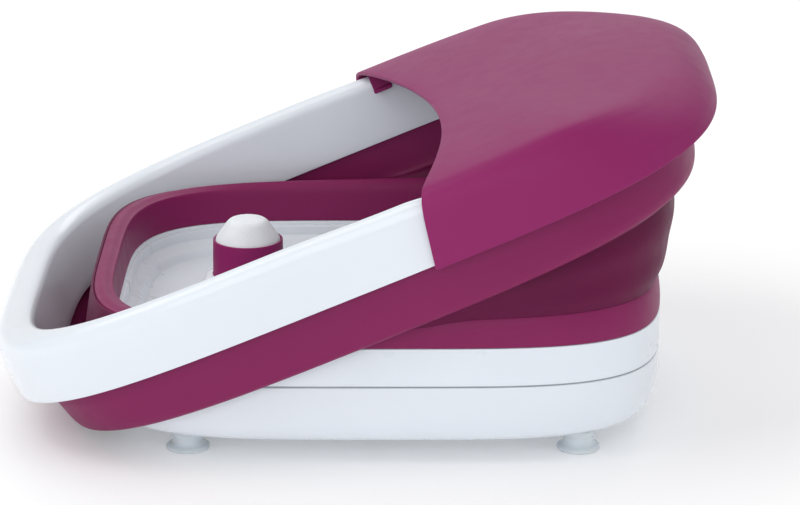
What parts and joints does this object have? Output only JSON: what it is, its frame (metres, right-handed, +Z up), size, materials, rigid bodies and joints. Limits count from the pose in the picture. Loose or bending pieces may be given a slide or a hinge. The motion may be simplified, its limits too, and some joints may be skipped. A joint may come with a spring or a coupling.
{
  "type": "foot spa basin",
  "caption": "Collapsible foot spa basin: heated vibrating base, soft bellows wall, rigid rim folded down at the heel end, lift-off splash guard and pumice post.",
  "frame": {"origin": "middle of the whole object's box at the height of the foot pads' undersides, with the rim folded down at the heel end", "axes": "+Z up, +X towards the toe end under the splash guard, +Y towards the side that carries the knob and the cord outlet"},
  "size_m": [0.4166, 0.3336, 0.2139],
  "materials": {
    "white_shell": "smooth glossy white polypropylene",
    "berry_hard": "satin berry moulded plastic",
    "berry_soft": "satin berry thermoplastic rubber",
    "grey_seal": "matt grey seal",
    "foot_pads": "glossy pale translucent pads",
    "screw_steel": "zinc plated",
    "light_plastic": "plain light moulding",
    "pumice": "fine rough white pumice",
    "heat_plate": "plain sheet",
    "heat_tube": "heat-tinted steel tube",
    "black_plastic": "matt black",
    "motor_steel": "plain zinc plated steel",
    "brass_weight": "turned brass",
    "black_rubber": "matt black",
    "board_green": "green lacquered board",
    "wire_red": "red insulation"
  },
  "bodies": {
    "base": {"base_tub": "white_shell", "tub_floor": "white_shell", "tub_island": "white_shell", "bottom_shell": "white_shell", "tub_gasket": "grey_seal", "suction_feet": "foot_pads", "base_screws": "screw_steel", "bellows_lower_band": "berry_soft", "bellows_web": "berry_soft", "pedicure_holder": "berry_hard", "heater_plate": "heat_plate", "heater_element": "heat_tube", "thermal_cutout": "black_plastic", "motor_housing": "motor_steel", "motor_bracket": "motor_steel", "motor_grommets": "black_rubber", "motor_screws": "screw_steel", "control_board": "board_green", "board_standoffs": "light_plastic", "switch_body": "black_plastic", "knob_seal": "black_rubber", "terminal_block": "light_plastic", "cord_gland": "black_rubber", "inner_wires": "wire_red"},
    "rim": {"rim_frame": "white_shell", "bellows_upper_band": "berry_soft"},
    "guard": {"splash_guard": "berry_hard", "guard_clips": "berry_hard"},
    "pumice": {"pumice_plug": "light_plastic", "pumice_stone": "pumice"},
    "rotor": {"motor_shaft": "motor_steel", "eccentric_weight": "brass_weight"},
    "knob": {"selector_knob": "berry_hard"}
  },
  "joints": [
    {"name": "rim_fold", "type": "hinge", "parent": "base", "child": "rim", "pos_m": [0.2142, 0, 0.14], "axis": [0, 1, 0], "range_deg": [0, 22.8], "deforming": ["bellows_web"]},
    {"name": "guard_lift", "type": "slide", "parent": "rim", "child": "guard", "axis": [-0.3875, 0, 0.9219], "range_m": [0, 0.06]},
    {"name": "pumice_lift", "type": "slide", "parent": "base", "child": "pumice", "axis": [0, 0, 1], "range_m": [0, 0.04]},
    {"name": "motor_spin", "type": "hinge", "parent": "base", "child": "rotor", "pos_m": [0.0142, 0, 0.042], "axis": [1, 0, 0], "continuous": true},
    {"name": "selector_turn", "type": "hinge", "parent": "base", "child": "knob", "pos_m": [0.0342, 0.145, 0.03], "axis": [0, 1, 0], "range_deg": [0, 120]}
  ]
}
